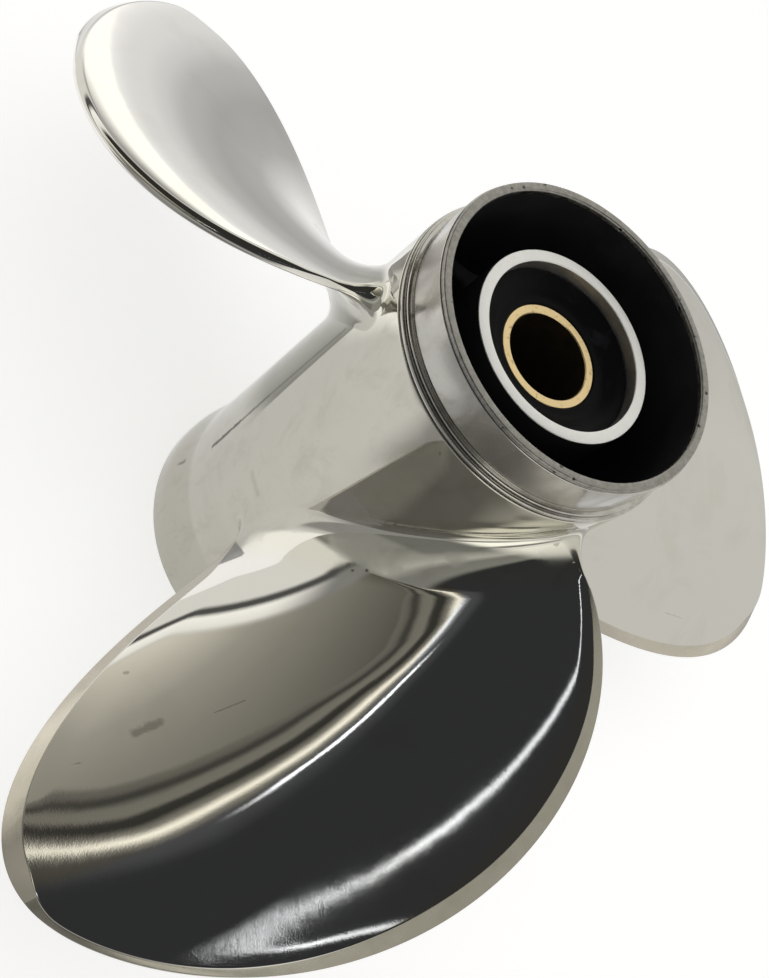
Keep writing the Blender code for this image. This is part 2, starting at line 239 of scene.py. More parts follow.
# Scratches, smudges and a painted shade line, in millimetres: from where, to where, half the width and how
# dark.
MARKS_AND_SHADE_LINE = (
    ((45.5, -70.1, 45.7), (44.8, -65.9, 47.5), 1.0, 0.42),
    ((45.0, -52.1, 55.3), (45.7, -57.2, 52.5), 0.16, 0.40),
    ((48.2, -81.4, 41.6), (48.3, -79.8, 42.3), 0.22, 0.55),
    ((33.8, -67.4, 41.6), (33.9, -67.0, 41.8), 0.40, 0.40),
    ((42.3, 73.3, 42.9), (44.5, 79.4, 42.3), 0.20, 0.25),
    # Painted shade: these three marks draw a dark line down the barrel's left side, darkest at its aft end,
    # for the edge of a mirrored shade.
    ((-14.2, -28.3, 27.0), (-14.6, -28.1, 40.0), 0.52, 0.97),
    ((-14.6, -28.1, 40.0), (-15.1, -28.1, 53.0), 0.46, 0.72),
    ((-15.1, -28.1, 53.0), (-15.5, -28.1, 83.0), 0.40, 0.45),
    ((-16.3, -27.6, 12.3), (-16.3, -27.6, 8.3), 0.55, 0.60),
    ((-1.4, -31.8, 45.1), (2.6, -31.7, 45.1), 0.9, 0.14),
    ((26.2, -28.5, 65.4), (26.3, -28.4, 65.5), 0.30, 0.9),
    ((27.1, -27.0, 67.7), (27.2, -26.9, 67.8), 0.30, 0.9),
)
COLLAR_MARKS = (((-7.6, -29.7, 108.1), (-8.4, -29.6, 103.4), 0.50, 0.45),)
# Each mark is full up to the first share of its half width and gone at the second. Its outline is ragged.
MARK_CORE, MARK_END, MARK_RAGGEDNESS = 0.4, 1.3, 1.6

# Polished steel: the radii over which the hub's stains end and the fillet's rough patch starts and ends, and
# the heights over which the painted shade low on the flared ring ends.
HUB_STAIN_END = (0.036, 0.043)
ROUGH_START = (BARREL_FRONT_RADIUS + 0.0006, BARREL_FRONT_RADIUS + 0.0022)
ROUGH_END = (ROOT_RADIUS + 0.0035, ROOT_RADIUS + 0.0085)
FLARE_SHADE_END = (0.0150, 0.0172)
# Its roughness, and how much more clouds, the rough patch and the marks (dirt and the painted shade line)
# make it.
LEAST_ROUGHNESS, CLOUD_ROUGHNESS, PATCH_ROUGHNESS, MARK_ROUGHNESS = 0.008, 0.035, 0.20, 0.3
# Its relief: the scale, detail and roughness of each noise, and how high it stands.
WAVES, WAVE_HEIGHT = (62, 1, 0.4), 0.000011
RIPPLES, RIPPLE_HEIGHT = (210, 2, 0.5), 0.0000022
GRIT, GRIT_HEIGHT = (3000, 2, 0.7), 0.0000009
PIT_HEIGHT = 0.00006
# The cuts on the inner tube's machined front lie this far apart.
GROOVE_SPACING = 0.00022

# Colours, in linear light.
STEEL = (0.575, 0.560, 0.535, 1)
HUB_STEEL = (0.565, 0.552, 0.492, 1)
STAINED_STEEL = (0.50, 0.475, 0.425, 1)
# Dark colour of the hub's soot blotches and of the painted shade on the flared ring.
SOOTY_AND_SHADED_STEEL = (0.44, 0.425, 0.365, 1)
# The marks' dark colour, also used for the painted shade line on the barrel.
GRIME_AND_SHADE = (0.10, 0.095, 0.085, 1)
PALE_GROUND = ((0.50, 0.46, 0.385, 1), (0.56, 0.525, 0.45, 1))
# Painted shade: the leading land's colour is the ground steel made darker, for the shade it lies in.
SHADED_GROUND = ((0.25, 0.235, 0.195, 1), (0.37, 0.35, 0.30, 1))
TURNED_STEEL = ((0.50, 0.485, 0.455, 1), (0.34, 0.32, 0.285, 1))
RIM_STEEL = ((0.25, 0.24, 0.22, 1), (0.40, 0.385, 0.36, 1))
RIM_PIT = (0.035, 0.032, 0.03, 1)
MACHINED_STEEL = ((0.72, 0.71, 0.70, 1), (0.92, 0.91, 0.90, 1))
COATING = ((0.006, 0.006, 0.007, 1), (0.017, 0.017, 0.018, 1))
RUBBER = ((0.0035, 0.0035, 0.004, 1), (0.010, 0.0105, 0.012, 1))
BRASS = (0.80, 0.62, 0.34, 1)
DARK_BRASS = (0.46, 0.33, 0.16, 1)
BORE_BRASS = ((0.010, 0.008, 0.005, 1), (0.045, 0.030, 0.014, 1))
PAPER = ((0.50, 0.498, 0.492, 1), (0.52, 0.518, 0.512, 1))
PAPER_LIGHT = (1, 0.997, 0.985, 1)
SHARP_ANGLE = radians(40)


class Nodes:
    """Short ways to add shader nodes to one tree."""

    def __init__(self, tree):
        self.tree = tree

    def add(self, kind, **settings):
        node = self.tree.nodes.new("ShaderNode" + kind)
        for name, value in settings.items():
            setattr(node, name, value)
        return node

    def feed(self, socket, value):
        if isinstance(value, bpy.types.NodeSocket):
            self.tree.links.new(value, socket)
        else:
            socket.default_value = value

    def fill(self, node, **values):
        """Feeds inputs by name, where an underscore stands for a space."""
        for name, value in values.items():
            self.feed(node.inputs[name.replace("_", " ")], value)

    def give(self, name, value):
        """Feeds one input of the material's shader."""
        self.feed(self.tree.nodes["Principled BSDF"].inputs[name], value)

    def math(self, operation, *values):
        node = self.add("Math", operation=operation)
        for socket, value in zip(node.inputs, values):
            self.feed(socket, value)
        return node.outputs[0]

    def plus(self, first, second):
        return self.math("ADD", first, second)

    def minus(self, first, second):
        return self.math("SUBTRACT", first, second)

    def times(self, first, second):
        return self.math("MULTIPLY", first, second)

    def vector(self, operation, *values):
        node = self.add("VectorMath", operation=operation)
        for socket, value in zip(node.inputs, values):
            self.feed(socket, value)
        return node.outputs["Value" if operation in ("DOT_PRODUCT", "LENGTH", "DISTANCE") else "Vector"]

    def spread(self, value, low, high, to_low=0.0, to_high=1.0):
        """A smooth step: to_low where the value is under low, to_high where it is over high."""
        node = self.add("MapRange", interpolation_type="SMOOTHSTEP")
        self.fill(node, Value=value, From_Min=low, From_Max=high, To_Min=to_low, To_Max=to_high)
        return node.outputs["Result"]

    def noise(self, place, scale, detail=2.0, roughness=0.5, distortion=0.0):
        node = self.add("TexNoise")
        self.fill(node, Vector=place, Scale=scale, Detail=detail, Roughness=roughness, Distortion=distortion)
        return node.outputs["Fac"]

    def dots(self, place, scale):
        """The distance to scattered points."""
        node = self.add("TexVoronoi")
        self.fill(node, Vector=place, Scale=scale)
        return node.outputs["Distance"]

    def from_line(self, place, start, end):
        """The distance to a straight line between two points."""
        along = Vector(end) - Vector(start)
        offset = self.vector("SUBTRACT", place, start)
        share = self.vector("DOT_PRODUCT", offset, tuple(along / along.length_squared))
        share = self.math("MINIMUM", self.math("MAXIMUM", share, 0.0), 1.0)
        scale = self.add("VectorMath", operation="SCALE")
        self.feed(scale.inputs[0], tuple(along))
        self.feed(scale.inputs["Scale"], share)
        return self.vector("DISTANCE", offset, scale.outputs["Vector"])

    def mix(self, share, first, second):
        node = self.add("Mix", data_type="RGBA")
        for name, value in (("Factor_Float", share), ("A_Color", first), ("B_Color", second)):
            self.feed(next(s for s in node.inputs if s.identifier == name), value)
        return next(s for s in node.outputs if s.identifier == "Result_Color")

    def bump(self, height, distance, under=None):
        node = self.add("Bump")
        self.fill(node, Distance=distance, Height=height)
        if under:
            self.feed(node.inputs["Normal"], under)
        return node.outputs["Normal"]


def new_material(name, metallic, roughness):
    """A new material's node helper, and the place in the object."""
    material = bpy.data.materials.new(name)
    material.use_nodes = True
    nodes = Nodes(material.node_tree)
    nodes.material = material
    nodes.give("Metallic", metallic)
    nodes.give("Roughness", roughness)
    return nodes, nodes.add("TexCoord").outputs["Object"]


def around_axis(nodes, place):
    """Radius from the shaft axis, and height."""
    split = nodes.add("SeparateXYZ")
    nodes.feed(split.inputs[0], place)
    flat = nodes.vector("MULTIPLY", place, (1, 1, 0))
    return nodes.vector("LENGTH", flat), split.outputs["Z"]


def stretched(nodes, place, scale):
    mapping = nodes.add("Mapping")
    nodes.fill(mapping, Vector=place, Scale=scale)
    return mapping.outputs["Vector"]


def marks_and_shade_lines(nodes, place, marks):
    """The scratches, smudges and painted shade lines, from 0 to 1, with ragged outlines."""
    ragged = nodes.minus(nodes.noise(place, 900, 3, 0.6), 0.5)
    total = 0.0
    for start, end, half, darkness in marks:
        reach = nodes.from_line(place, tuple(v * MM for v in start), tuple(v * MM for v in end))
        reach = nodes.plus(reach, nodes.times(ragged, half * MM * MARK_RAGGEDNESS))
        mark = nodes.spread(reach, MARK_CORE * half * MM, MARK_END * half * MM, darkness, 0.0)
        total = nodes.math("MAXIMUM", total, mark)
    return total


def cast_colour(nodes, place, radius, height):
    """Steel with faint smudges, with stains and soot blotches on the hub, and painted shade low on the flared
    ring.
    """
    on_hub = nodes.spread(radius, *HUB_STAIN_END, 1.0, 0.0)
    smudge = nodes.spread(nodes.noise(place, 60, 4, 0.6, 0.4), 0.48, 0.72)
    clean = nodes.mix(on_hub, STEEL, HUB_STEEL)
    metal = nodes.mix(nodes.times(smudge, 0.35), clean, STAINED_STEEL)
    soot_and_shade = nodes.noise(stretched(nodes, place, (1, 1, 0.6)), 150, 5, 0.65, 0.5)
    soot_and_shade = nodes.times(nodes.spread(soot_and_shade, 0.46, 0.74), 0.5)
    # Painted shade: below these heights the flared ring is darker, for the shaded table that it mirrors next
    # to it.
    soot_and_shade = nodes.plus(soot_and_shade, nodes.spread(height, *FLARE_SHADE_END, 0.38, 0.0))
    return nodes.mix(nodes.times(soot_and_shade, on_hub), metal, SOOTY_AND_SHADED_STEEL)


def rough_patch(nodes, place, radius):
    """How rough the fillet at a blade's root is left, from 0 to 1."""
    outside = nodes.spread(radius, *ROUGH_START)
    inside = nodes.spread(radius, *ROUGH_END, 1.0, 0.0)
    fillet = nodes.times(outside, inside)
    return nodes.times(fillet, nodes.spread(nodes.noise(place, 130, 3), 0.46, 0.62))


def cast_relief(nodes, place, rough):
    """Soft waves, ripples and fine grit, with pits where the steel is rough."""
    pits = nodes.spread(nodes.dots(place, 210), 0.05, 0.13)
    pits = nodes.math("MAXIMUM", pits, nodes.spread(rough, 0.3, 0.9, 1.0, 0.0))
    waves = nodes.bump(nodes.noise(place, *WAVES), WAVE_HEIGHT)
    ripples = nodes.bump(nodes.noise(place, *RIPPLES), RIPPLE_HEIGHT, waves)
    grain = nodes.bump(nodes.noise(place, *GRIT), GRIT_HEIGHT, ripples)
    return nodes.bump(pits, PIT_HEIGHT, grain)


def polished_steel():
    """Hand-polished castings: a mirror with soft waves, fine grit, a stained hub, painted shade low on the
    flared ring and along a line on the barrel, and a rougher fillet.
    """
    nodes, place = new_material("polished_steel", 1, 0.1)
    radius, height = around_axis(nodes, place)
    # The marks include a painted shade line down the barrel's left side.
    marks_and_shade = marks_and_shade_lines(nodes, place, MARKS_AND_SHADE_LINE)
    metal = cast_colour(nodes, place, radius, height)
    nodes.give("Base Color", nodes.mix(marks_and_shade, metal, GRIME_AND_SHADE))

    rough = rough_patch(nodes, place, radius)
    clouds = nodes.times(nodes.noise(place, 45, 3), CLOUD_ROUGHNESS)
    roughness = nodes.plus(clouds, LEAST_ROUGHNESS)
    roughness = nodes.plus(roughness, nodes.times(rough, PATCH_ROUGHNESS))
    roughness = nodes.plus(roughness, nodes.times(marks_and_shade, MARK_ROUGHNESS))
    nodes.give("Roughness", roughness)
    nodes.give("Normal", cast_relief(nodes, place, rough))
    return nodes.material


def ground_steel(name, colours):
    """The land along a blade's edge: finely ground, without the mirror polish."""
    nodes, place = new_material(name, 1, 0.2)
    tone = nodes.noise(place, 300, 3)
    nodes.give("Base Color", nodes.mix(tone, *colours))
    nodes.give("Roughness", nodes.spread(tone, 0.2, 0.8, 0.18, 0.30))
    nodes.give("Normal", nodes.bump(nodes.noise(place, 1500, 2), 0.000008))
    return nodes.material


def turned_steel():
    """The collar: turned in a lathe, then handled, so satin with smudges."""
    nodes, place = new_material("turned_steel", 1, 0.2)
    cloud = nodes.noise(stretched(nodes, place, (1, 1, 0.5)), 110, 4, 0.55, 0.6)
    spots = nodes.spread(nodes.noise(place, 260, 4, 0.7), 0.60, 0.74)
    stained = nodes.math("MAXIMUM", nodes.spread(cloud, 0.42, 0.70), nodes.times(spots, 0.7))
    metal = nodes.mix(stained, *TURNED_STEEL)
    nodes.give("Base Color", nodes.mix(marks_and_shade_lines(nodes, place, COLLAR_MARKS), metal, GRIME_AND_SHADE))
    nodes.give("Roughness", nodes.spread(cloud, 0.25, 0.75, 0.13, 0.30))
    turning = nodes.noise(stretched(nodes, place, (60, 60, 9000)), 1, 2, 0.7)
    dents = nodes.bump(cloud, 0.00010)
    nodes.give("Normal", nodes.bump(turning, 0.0000035, dents))
    return nodes.material


def rim_steel():
    """The bare front face: flat, dull and full of small casting pits."""
    nodes, place = new_material("rim_steel", 1, 0.4)
    cells = nodes.dots(place, 620)
    clusters = nodes.spread(nodes.noise(place, 190, 3, 0.6), 0.50, 0.64)
    holes = nodes.spread(cells, 0.10, 0.30, 1.0, 0.0)
    holes = nodes.times(holes, clusters)
    mottle = nodes.noise(place, 900, 4, 0.75)
    metal = nodes.mix(nodes.spread(mottle, 0.35, 0.68), *RIM_STEEL)
    nodes.give("Base Color", nodes.mix(holes, metal, RIM_PIT))
    nodes.give("Roughness", nodes.spread(mottle, 0.3, 0.7, 0.30, 0.46))
    grain = nodes.bump(mottle, 0.00003)
    sunk = nodes.minus(1.0, holes)
    nodes.give("Normal", nodes.bump(sunk, 0.00015, grain))
    return nodes.material


def machined_steel():
    """The inner tube's front face and bore, freshly cut and left bright."""
    nodes, place = new_material("machined_steel", 1, 0.35)
    radius, height = around_axis(nodes, place)
    grain = nodes.noise(place, 1400, 3, 0.7)
    nodes.give("Base Color", nodes.mix(grain, *MACHINED_STEEL))
    nodes.give("Roughness", nodes.spread(grain, 0.3, 0.7, 0.30, 0.42))
    turns = nodes.times(nodes.plus(radius, height), 2 * pi / GROOVE_SPACING)
    cut = nodes.bump(nodes.math("SINE", turns), 0.000004)
    nodes.give("Normal", nodes.bump(grain, 0.00001, cut))
    return nodes.material


def exhaust_coating():
    """Black paint baked on the inside of the hub."""
    nodes, place = new_material("exhaust_coating", 0, 0.5)
    cloud = nodes.noise(place, 90, 4, 0.6)
    nodes.give("Base Color", nodes.mix(cloud, *COATING))
    nodes.give("Roughness", nodes.spread(cloud, 0.3, 0.7, 0.42, 0.6))
    nodes.give("Specular IOR Level", 0.3)
    drips = nodes.bump(nodes.noise(stretched(nodes, place, (1, 1, 0.3)), 240, 3), 0.00012)
    nodes.give("Normal", nodes.bump(nodes.noise(place, 1800, 2), 0.00002, drips))
    return nodes.material


def rubber():
    """Black rubber, with the faint bloom and the fine grain of a mould."""
    nodes, place = new_material("bush_rubber", 0, 0.4)
    bloom = nodes.spread(nodes.noise(place, 170, 4, 0.6, 0.8), 0.55, 0.78)
    nodes.give("Base Color", nodes.mix(bloom, *RUBBER))
    nodes.give("Roughness", nodes.spread(bloom, 0.0, 1.0, 0.40, 0.55))
    nodes.give("Specular IOR Level", 0.05)
    nodes.give("Normal", nodes.bump(nodes.noise(place, 1300, 3), 0.00003))
    return nodes.material


def brass():
    """The splined sleeve: pale brass, sawn and faced, with darker specks."""
    nodes, place = new_material("sleeve_brass", 1, 0.35)
    specks = nodes.spread(nodes.noise(place, 900, 4, 0.75), 0.54, 0.70)
    metal = nodes.mix(nodes.times(specks, 0.6), BRASS, DARK_BRASS)
    nodes.give("Base Color", metal)
    nodes.give("Roughness", nodes.spread(specks, 0.0, 1.0, 0.30, 0.50))
    nodes.give("Normal", nodes.bump(nodes.noise(place, 1500, 3), 0.00001))
    return nodes.material


def dull_brass():
    """The sleeve's bore, darkened by grease and shade."""
    nodes, place = new_material("bore_brass", 0.6, 0.5)
    grime = nodes.noise(place, 350, 4, 0.7)
    nodes.give("Base Color", nodes.mix(grime, *BORE_BRASS))
    nodes.give("Roughness", nodes.spread(grime, 0.3, 0.7, 0.45, 0.65))
    nodes.give("Normal", nodes.bump(grime, 0.00004))
    return nodes.material


def table_shade(nodes, across, along):
    """How deep the shade on the table is, from 0 to 1."""
    reach = nodes.spread(across, *BLADE_SHADE_REACH, 1.0, 0.0)
    depth = ramp(nodes, nodes.minus(along, BLADE_SHADE_EDGE), BLADE_SHADE[-1][0], BLADE_SHADE)
    shade = nodes.times(reach, depth)
    for right, front in SHADES:
        step = nodes.times(nodes.spread(across, *right), nodes.spread(along, *front, 1.0, 0.0))
        shade = nodes.math("MAXIMUM", shade, step)
    return shade


def table_paper():
    """Pale paper that glows. The steel mirrors it darker just behind the propeller and in the shade."""
    nodes, place = new_material("table_paper", 0, 0.85)
    fibres = nodes.noise(place, 700, 3)
    nodes.give("Base Color", nodes.mix(fibres, *PAPER))
    radius = around_axis(nodes, place)[0]
    nodes.give("Emission Color", PAPER_LIGHT)
    mirrored = nodes.add("LightPath").outputs["Is Glossy Ray"]
    split = nodes.add("SeparateXYZ")
    nodes.feed(split.inputs[0], place)
    across, along = split.outputs["X"], split.outputs["Y"]
    behind = nodes.spread(along, *BEHIND)
    front = nodes.spread(across, *LEFT_SIDE, LEFT_GLOW, FRONT_GLOW)
    glow = blend(nodes, behind, front, ramp(nodes, radius, MIRRORED_GLOW[-1][0], MIRRORED_GLOW))
    glow = blend(nodes, table_shade(nodes, across, along), glow, SHADE_LEAVES)
    glow = blend(nodes, mirrored, TABLE_GLOW, glow)
    nodes.give("Emission Strength", glow)
    nodes.give("Normal", nodes.bump(fibres, 0.00001))
    return nodes.material


def make_object(name, mesh_data, materials):
    """Faces keep their material_index. Everything is shaded smooth except its sharp corners."""
    mesh = bpy.data.meshes.new(name)
    bmesh.ops.recalc_face_normals(mesh_data, faces=mesh_data.faces)
    mesh_data.to_mesh(mesh)
    mesh_data.free()
    mesh.shade_smooth()
    mesh.set_sharp_from_angle(angle=SHARP_ANGLE)
    for material in materials:
        mesh.materials.append(material)
    obj = bpy.data.objects.new(name, mesh)
    bpy.context.scene.collection.objects.link(obj)
    return obj


def rounded(corners, steps=5):
    """A line through corners (x, y, rounding), each rounded one replaced by a short parabola."""
    line = []
    for i, (x, y, rounding) in enumerate(corners):
        if not rounding:
            line.append((x, y))
            continue
        here = Vector((x, y))
        before = Vector(corners[i - 1][:2])
        after = Vector(corners[(i + 1) % len(corners)][:2])
        start = here + (before - here).normalized() * rounding
        end = here + (after - here).normalized() * rounding
        for step in range(steps + 1):
            t = step / steps
            line.append(tuple(start * (1 - t) ** 2 + here * 2 * t * (1 - t) + end * t * t))
    return line


def bezier(points, t):
    weights = ((1 - t) ** 3, 3 * t * (1 - t) ** 2, 3 * t * t * (1 - t), t**3)
    return tuple(sum(w * p[k] for w, p in zip(weights, points)) for k in (0, 1))


def parameter_at_radius(curve, radius):
    low, high = 0.0, 1.0
    for _ in range(40):
        middle = (low + high) / 2
        if bezier(curve, middle)[1] < radius:
            low = middle
        else:
            high = middle
    return low


def middle_of(first, second):
    return tuple(tuple((a + b) / 2 for a, b in zip(p, q)) for p, q in zip(first, second))


SPINE = middle_of(LEADING_EDGE, TRAILING_EDGE)


def smooth_step(value, low, high):
    share = min(max((value - low) / (high - low), 0.0), 1.0)
    return share * share * (3 - 2 * share)


def fillet_width(radius):
    rise = min(max(radius - ROOT_RADIUS, 0.0), FILLET)
    return FILLET_SIDE * (1 - sqrt(1 - (1 - rise / FILLET) ** 2))


def swell_at(along, radius):
    """How far the forward face stands proud of a plate as thick as the edge: a parabola over the chord."""
    level = min(max(radius, ROOT_RADIUS), TIP_RADIUS)
    lead = bezier(LEADING_EDGE, parameter_at_radius(LEADING_EDGE, level))[0]
    trail = bezier(TRAILING_EDGE, parameter_at_radius(TRAILING_EDGE, level))[0]
    if lead - trail < MM / 1000:
        return 0.0
    share = min(max((lead - along) / (lead - trail), 0.0), 1.0)
    out = (level - ROOT_RADIUS) / (TIP_RADIUS - ROOT_RADIUS)
    return (ROOT_THICKNESS - EDGE_THICKNESS) * (1 - out) * 4 * share * (1 - share)


def barrel_radius(height):
    share = (height - FLARE_STEP[1]) / (BARREL_TOP - FLARE_STEP[1])
    return BARREL_AFT_RADIUS + share * (BARREL_FRONT_RADIUS - BARREL_AFT_RADIUS)


def helix_point(along, radius, off):
    """A point of the blade: along the unrolled helix, out from the axis, and off the plate's middle."""
    slope = atan2(PITCH, 2 * pi * radius)
    height = LEADING_ROOT_HEIGHT + tan(RAKE) * (radius - ROOT_RADIUS) + along * sin(slope) + off * cos(slope)
    angle = (along * cos(slope) - off * sin(slope)) / radius
    hug = max(0.0, 1 - (radius - ROOT_RADIUS) / FILLET)
    radius += hug * (barrel_radius(height) - ROOT_RADIUS - SINK)
    return (radius * cos(angle), radius * sin(angle), height)


def edge_section(width, slope, corner):
    """The edge with a land this wide, from forward to aft face: (distance outside the outline, height)."""
    half = EDGE_THICKNESS / 2
    corner = min(corner, MOST_ROUNDING * width)
    foot = max(half - width * slope, LAND_FOOT - half)
    blunt = min(corner, (foot + half) / 2)
    corners = (
        (-2 * width, half, 0),
        (-width, half, corner),
        (0, foot, blunt),
        (0, -half, blunt),
        (-width, -half, 0),
    )
    return rounded(corners)[1:-1]


NOSE_POINTS = len(edge_section(LEAST_LAND, 1.0, LAND_ROUND)) - 2
# Which of the nose's strips are the land: those between the first two rounded corners.
LAND_STRIPS = range(3, 9)


def land_at(land, place, radius):
    """The land's width, slope and rounding at this place along the edge: 0 is the root and 1 the tip."""
    tip = smooth_step(place, *land["end"])
    width = land["width"] * (1 + land["growth"] * smooth_step(place, *land["grows_over"]))
    width *= smooth_step(radius, *land["start"])
    width += tip * (TIP_EDGE["width"] - width)
    slope = land["slope"] + tip * (TIP_EDGE["slope"] - land["slope"])
    return width, slope, land["corner"] + tip * (TIP_EDGE["corner"] - land["corner"])


def roll_off(inside, roll, share):
    """How far the forward face falls away this far inside the land."""
    width, drop = roll
    return share * drop * max(0.0, 1 - inside / width) ** 2


def blade_rows(fillet_rows, edge_rows):
    """For each row from root to tip: the place along the leading edge, the trailing edge and the spine."""
    curves = (LEADING_EDGE, TRAILING_EDGE, SPINE)
    rows = []
    for i in range(fillet_rows):
        radius = ROOT_RADIUS + FILLET * (1 - cos(pi / 2 * i / fillet_rows))
        rows.append([parameter_at_radius(curve, radius) for curve in curves])
    starts = [parameter_at_radius(curve, ROOT_RADIUS + FILLET) for curve in curves]
    for i in range(edge_rows + 1):
        share = i / edge_rows
        rows.append([start + share * (end - start) for start, end in zip(starts, (1.0, 1.0, SPINE_END))])
    return rows


def half_row(curve, place, spine, land, roll, side_steps):
    """From the spine to one edge: the forward side, the nose round the edge, and the aft side."""
    edge = bezier(curve, place)
    reach = sqrt((edge[0] - spine[0]) ** 2 + (edge[1] - spine[1]) ** 2)
    out = ((edge[0] - spine[0]) / reach, (edge[1] - spine[1]) / reach)
    half = EDGE_THICKNESS / 2
    centre = (edge[0] - out[0] * half, edge[1] - out[1] * half)
    widen = fillet_width(centre[1])
    width, slope, corner = land_at(land, place, edge[1])
    flat = smooth_step(width, 0, LEAST_LAND)
    rolled = flat * (1 - smooth_step(place, *ROLL_END))
    section = edge_section(max(width, LEAST_LAND), slope, corner)
    nose = []
    for i, (flat_out, flat_up) in enumerate(section):
        angle = pi / 2 - pi * i / (len(section) - 1)
        round_out = half * (cos(angle) - 1)
        outward = round_out + flat * (flat_out - round_out) + cos(angle) * widen
        upward = half * sin(angle) + flat * (flat_up - half * sin(angle)) + sin(angle) * widen
        spot = (edge[0] + out[0] * outward, edge[1] + out[1] * outward)
        height = swell_at(*spot) - roll_off(0, roll, rolled)
        nose.append((spot, upward + height * (upward + half + widen) / (EDGE_THICKNESS + 2 * widen)))
    forward, aft = [], []
    for side, sign, end in ((forward, 1, nose[0][0]), (aft, -1, nose[-1][0])):
        length = sqrt((end[0] - spine[0]) ** 2 + (end[1] - spine[1]) ** 2)
        for step in range(side_steps + 1):
            share = sin(pi / 2 * step / side_steps)
            along = spine[0] + share * (end[0] - spine[0])
            radius = spine[1] + share * (end[1] - spine[1])
            off = sign * (half + fillet_width(radius))
            if sign > 0:
                off += swell_at(along, radius) - roll_off(length * (1 - share), roll, rolled)
            side.append(helix_point(along, radius, off))
    round_edge = [helix_point(*spot, off) for spot, off in nose[1:-1]]
    return forward, round_edge, aft, (width > LEAST_LAND) + (place > sum(land["end"]) / 2)


def blade_mesh(finish, fillet_rows=16, edge_rows=90, side_steps=36):
    """One blade. Material 1 is the trailing edge's land, and the finish gives the leading edge's."""
    lead_land = dict(LEAD_LAND, slope=finish["slope"], growth=finish["growth"], corner=finish["corner"])
    lead_land["width"] *= finish["width"]
    trail_land = dict(TRAIL_LAND, corner=LAND_ROUND)
    lead_roll = (LEAD_ROLL[0], LEAD_ROLL[1] * finish["roll"])
    trail_roll = (TRAIL_ROLL[0], TRAIL_ROLL[1] * finish["roll"])
    blade = bmesh.new()
    loops, landed = [], []
    for lead_place, trail_place, spine_place in blade_rows(fillet_rows, edge_rows):
        spine = bezier(SPINE, spine_place)
        lead = half_row(LEADING_EDGE, lead_place, spine, lead_land, lead_roll, side_steps)
        trail = half_row(TRAILING_EDGE, trail_place, spine, trail_land, trail_roll, side_steps)
        points = trail[0][:0:-1] + lead[0] + lead[1] + lead[2][::-1] + trail[2][1:] + trail[1][::-1]
        loops.append([blade.verts.new(point) for point in points])
        landed.append((lead[3], trail[3]))
    loops.insert(0, [blade.verts.new(sunk_point(vertex.co)) for vertex in loops[0]])
    side = 2 * side_steps + 1
    lead_strips = [side - 1 + strip for strip in LAND_STRIPS]
    trail_strips = [len(loops[0]) - 1 - strip for strip in LAND_STRIPS]
    for row, (lower, upper) in enumerate(zip(loops, loops[1:])):
        on_lead, on_trail = landed[max(row - 1, 0)]
        for i in range(len(lower)):
            j = (i + 1) % len(lower)
            face = blade.faces.new((lower[i], lower[j], upper[j], upper[i]))
            if on_lead and i in lead_strips:
                face.material_index = finish["material"]
            elif on_trail and i in trail_strips:
                face.material_index = 1 if on_trail == 1 else finish["material"]
    close_foot(blade, loops[0], side)
    bmesh.ops.remove_doubles(blade, verts=list(blade.verts), dist=MM / 10000)
    return blade


def sunk_point(point):
    """The same place, a little under the barrel's surface."""
    spread = (barrel_radius(point.z) - FOOT_DEPTH) / sqrt(point.x**2 + point.y**2)
    return (point.x * spread, point.y * spread, point.z)


def close_foot(blade, loop, side):
    """Strips across the foot inside the barrel's wall, so that the blade is a closed body."""
    forward = loop[:side]
    lead_nose = loop[side : side + NOSE_POINTS]
    aft = loop[side + NOSE_POINTS : 2 * side + NOSE_POINTS][::-1]
    trail_nose = loop[2 * side + NOSE_POINTS :][::-1]
    columns = [[forward[0]] + trail_nose + [aft[0]]]
    for front, back in zip(forward[1:-1], aft[1:-1]):
        column = [front]
        for step in range(1, NOSE_POINTS + 1):
            between = front.co.lerp(back.co, step / (NOSE_POINTS + 1))
            column.append(blade.verts.new(sunk_point(between)))
        columns.append(column + [back])
    columns.append([forward[-1]] + lead_nose + [aft[-1]])
    for left, right in zip(columns, columns[1:]):
        for i in range(NOSE_POINTS + 1):
            blade.faces.new((left[i], left[i + 1], right[i + 1], right[i]))


def turned(profile, pick=None, steps=TURN_STEPS):
    """A ring: the closed profile of (radius, height) points turned about Z. pick gives a face's material."""
    ring = bmesh.new()
    loops = []
    for step in range(steps):
        angle = 2 * pi * step / steps
        loops.append([ring.verts.new((r * cos(angle), r * sin(angle), z)) for r, z in profile])
    for step, loop in enumerate(loops):
        following = loops[(step + 1) % steps]
        for i, corner in enumerate(loop):
            j = (i + 1) % len(loop)
            face = ring.faces.new((corner, following[i], following[j], loop[j]))
            middle = tuple((a + b) / 2 for a, b in zip(profile[i], profile[j]))
            face.material_index = pick(*middle) if pick else 0
    return ring


def split_long(profile, longest=0.004):
    """The same closed profile with points added on its long sides."""
    split = []
    for i, (x, y) in enumerate(profile):
        after = profile[(i + 1) % len(profile)]
        pieces = 1 + int(sqrt((after[0] - x) ** 2 + (after[1] - y) ** 2) / longest)
        for step in range(pieces):
            share = step / pieces
            split.append((x + share * (after[0] - x), y + share * (after[1] - y)))
    return split


def shell_profile():
    """Barrel and flared ring in one, as they are cast."""
    outside = []
    for i in range(29):
        height = FLARE_STEP[0] + (FLARE_STEP[1] - FLARE_STEP[0]) * i / 28
        share = smooth_step(height, *FLARE_STEP)
        outside.append((FLARE_RADIUS + share * (BARREL_AFT_RADIUS - FLARE_RADIUS), height, 0))
    corners = [(FLARE_BORE, 0.0, 0.0004), (FLARE_RADIUS, 0.0, 0.0007)] + outside
    corners += [
        (BARREL_FRONT_RADIUS, BARREL_TOP, 0.0003),
        (HUB_BORE, BARREL_TOP, 0),
        (HUB_BORE, FLARE_STEP[1], 0.004),
    ]
    return split_long(rounded(corners))


